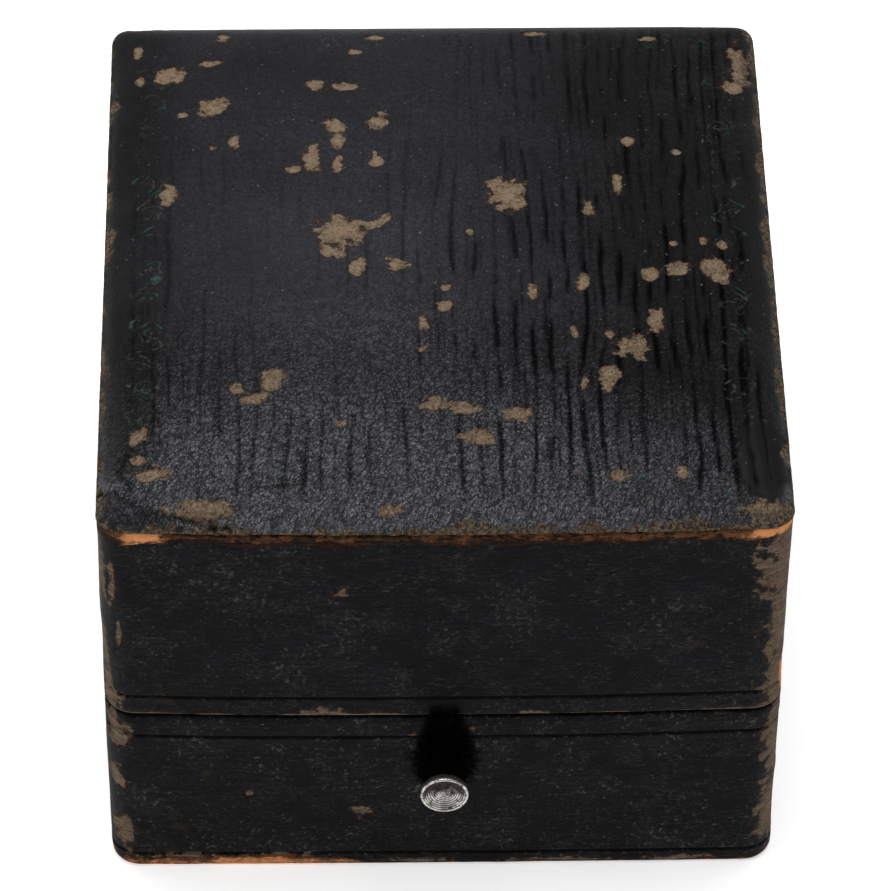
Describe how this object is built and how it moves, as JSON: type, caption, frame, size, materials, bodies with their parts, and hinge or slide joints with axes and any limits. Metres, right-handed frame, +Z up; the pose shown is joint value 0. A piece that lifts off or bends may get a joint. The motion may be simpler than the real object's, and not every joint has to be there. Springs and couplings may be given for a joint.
{
  "type": "jewelry gift box",
  "caption": "Small leather-covered ring case with a pillowed hinged lid, a push-button catch at the front, velvet ring pads and a satin-lined lid.",
  "frame": {"origin": "middle of the underside, on the face it stands on", "axes": "+Z up; +X to the right when the push button faces the viewer; -Y out of the front, where the button is; the hinge is at +Y"},
  "size_m": [0.052, 0.0617, 0.0398],
  "materials": {
    "straight_grain_leather": "worn black straight-grain goatskin, satin, with tan losses",
    "side_leather": "worn black fine-grain leather, satin, rubbed orange-brown at the edges",
    "underside_leather": "matte black skiver",
    "carcass_wood": "bare sycamore or beech",
    "brass_fittings": "dulled",
    "turned_steel": "turned, slightly tarnished",
    "spring_steel": "dull",
    "blue_velvet": "midnight blue cotton velvet",
    "ivory_satin": "aged ivory silk satin",
    "straw_card": "strawboard"
  },
  "bodies": {
    "base": {"base_floor_board": "carcass_wood", "base_hinge_leaf": "brass_fittings", "base_hinge_tacks": "brass_fittings", "base_side_leather": "side_leather", "base_underside_leather": "underside_leather", "base_wall_back": "carcass_wood", "base_wall_front": "carcass_wood", "base_wall_left": "carcass_wood", "base_wall_right": "carcass_wood", "button_bush": "brass_fittings", "collar_back": "blue_velvet", "collar_front": "blue_velvet", "collar_left": "blue_velvet", "collar_right": "blue_velvet", "front_pad_card": "straw_card", "front_ring_pad": "blue_velvet", "hinge_pin": "spring_steel", "latch_filler_left": "carcass_wood", "latch_filler_right": "carcass_wood", "pad_ledge_left": "straw_card", "pad_ledge_right": "straw_card", "rear_pad_card": "straw_card", "rear_ring_pad": "blue_velvet", "spring_block": "carcass_wood", "strike_plate": "brass_fittings", "strike_plate_pins": "brass_fittings", "velvet_ledge_left": "blue_velvet", "velvet_ledge_right": "blue_velvet"},
    "lid": {"lid_catch_pins": "brass_fittings", "lid_catch_tab": "brass_fittings", "lid_cushion_card": "straw_card", "lid_hinge_leaf": "brass_fittings", "lid_hinge_tacks": "brass_fittings", "lid_lining_back": "ivory_satin", "lid_lining_front": "ivory_satin", "lid_lining_left": "ivory_satin", "lid_lining_right": "ivory_satin", "lid_satin_cushion": "ivory_satin", "lid_side_leather": "side_leather", "lid_top_board": "carcass_wood", "lid_top_leather": "straight_grain_leather", "lid_wall_back": "carcass_wood", "lid_wall_front": "carcass_wood", "lid_wall_left": "carcass_wood", "lid_wall_right": "carcass_wood"},
    "button": {"push_button": "turned_steel"},
    "catch": {"catch_spring_leaf": "spring_steel"}
  },
  "joints": [
    {"name": "lid_hinge", "type": "hinge", "parent": "base", "child": "lid", "pos_m": [0, 0.0272, 0.0176], "axis": [-1, 0, 0], "range_deg": [0, 98]},
    {"name": "button_press", "type": "slide", "parent": "base", "child": "button", "axis": [0, 1, 0], "range_m": [0, 0.001], "stiffness_N_per_m": 400, "springref_m": -0.001},
    {"name": "catch_flex", "type": "hinge", "parent": "base", "child": "catch", "pos_m": [0, -0.02415, 0.005], "axis": [-1, 0, 0], "range_deg": [0, 7]}
  ],
  "couplings": [
    {"joint": "catch_flex", "follows": "button_press", "rad_per_m": 121.95}
  ]
}
